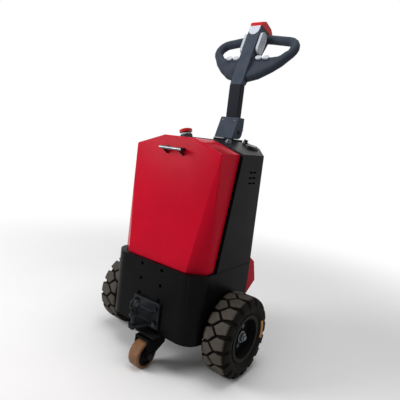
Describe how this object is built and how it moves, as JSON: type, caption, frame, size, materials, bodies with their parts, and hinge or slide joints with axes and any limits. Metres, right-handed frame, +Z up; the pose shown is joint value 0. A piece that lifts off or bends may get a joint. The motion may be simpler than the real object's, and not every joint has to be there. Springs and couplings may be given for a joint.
{
  "type": "pedestrian electric tow tractor",
  "caption": "Walk-behind electric tow tractor with drive wheels on a transaxle, trailing caster, jaw coupling with drop pin, lift-off hood and tilting loop tiller.",
  "frame": {"origin": "middle of the footprint box on the floor", "axes": "+Z up, -Y towards the coupling, +Y towards the operator, +X to the right when facing the coupling from outside"},
  "size_m": [0.66, 0.7123, 1.3999],
  "materials": {
    "black_sheet": "satin black powder coat",
    "red_sheet": "gloss red powder coat",
    "drive_casting": "painted casting",
    "battery_case": "painted steel tray",
    "bright_steel": "zinc plated",
    "chrome": "polished",
    "tyre_rubber": "worn tread",
    "caster_tread": "cast polyurethane",
    "black_moulding": "fine grained moulding",
    "black_plastic": "moulded",
    "pale_plastic": "moulded",
    "red_plastic": "moulded"
  },
  "bodies": {
    "chassis": {"tub_shell": "black_sheet", "tower_shell": "black_sheet", "rear_cover": "red_sheet", "transaxle": "drive_casting", "drive_motor": "drive_casting", "battery": "battery_case", "coupling": "black_sheet", "coupling_bolts": "bright_steel", "caster_mount": "bright_steel", "estop_base": "black_plastic", "estop_collar": "pale_plastic", "estop_knob": "red_plastic", "key_switch": "bright_steel", "charge_gauge": "black_plastic", "cable_gland": "black_plastic", "tiller_mount": "bright_steel"},
    "hood": {"hood_shell": "red_sheet", "hood_grip": "chrome", "hood_grip_posts": "black_plastic"},
    "drive_wheel_left": {"tyre_left": "tyre_rubber", "rim_left": "black_sheet", "hub_left": "drive_casting", "wheel_nuts_left": "bright_steel"},
    "drive_wheel_right": {"tyre_right": "tyre_rubber", "rim_right": "black_sheet", "hub_right": "drive_casting", "wheel_nuts_right": "bright_steel"},
    "caster_swivel": {"caster_fork": "black_sheet", "caster_axle": "bright_steel"},
    "caster_wheel": {"caster_core": "drive_casting", "caster_tread": "caster_tread"},
    "tow_pin": {"tow_pin": "bright_steel", "tow_pin_ring": "chrome"},
    "tiller": {"pivot_pin": "bright_steel", "pivot_cover": "black_moulding", "tiller_tube": "black_moulding", "tiller_head": "black_moulding", "loop_handle": "black_moulding", "belly_switch": "red_plastic", "head_plate": "pale_plastic", "paddle_left": "pale_plastic", "paddle_right": "pale_plastic", "head_buttons": "pale_plastic"}
  },
  "joints": [
    {"name": "left_wheel_spin", "type": "hinge", "parent": "chassis", "child": "drive_wheel_left", "pos_m": [-0.275, -0.0749, 0.15], "axis": [1, 0, 0], "continuous": true},
    {"name": "right_wheel_spin", "type": "hinge", "parent": "chassis", "child": "drive_wheel_right", "pos_m": [0.275, -0.0749, 0.15], "axis": [1, 0, 0], "continuous": true},
    {"name": "caster_swivel_turn", "type": "hinge", "parent": "chassis", "child": "caster_swivel", "pos_m": [0.028, -0.2539, 0.11], "axis": [0, 0, 1], "continuous": true},
    {"name": "caster_wheel_spin", "type": "hinge", "parent": "caster_swivel", "child": "caster_wheel", "pos_m": [0.028, -0.2989, 0.05], "axis": [1, 0, 0], "continuous": true},
    {"name": "tow_pin_lift", "type": "slide", "parent": "chassis", "child": "tow_pin", "axis": [0, 0, 1], "range_m": [0, 0.075]},
    {"name": "hood_lift", "type": "slide", "parent": "chassis", "child": "hood", "axis": [0, 0, 1], "range_m": [0, 0.5]},
    {"name": "tiller_tilt", "type": "hinge", "parent": "chassis", "child": "tiller", "pos_m": [0, 0.1381, 0.895], "axis": [-1, 0, 0], "range_deg": [0, 75], "stiffness_Nm_per_rad": 16, "springref_deg": -80.21}
  ]
}
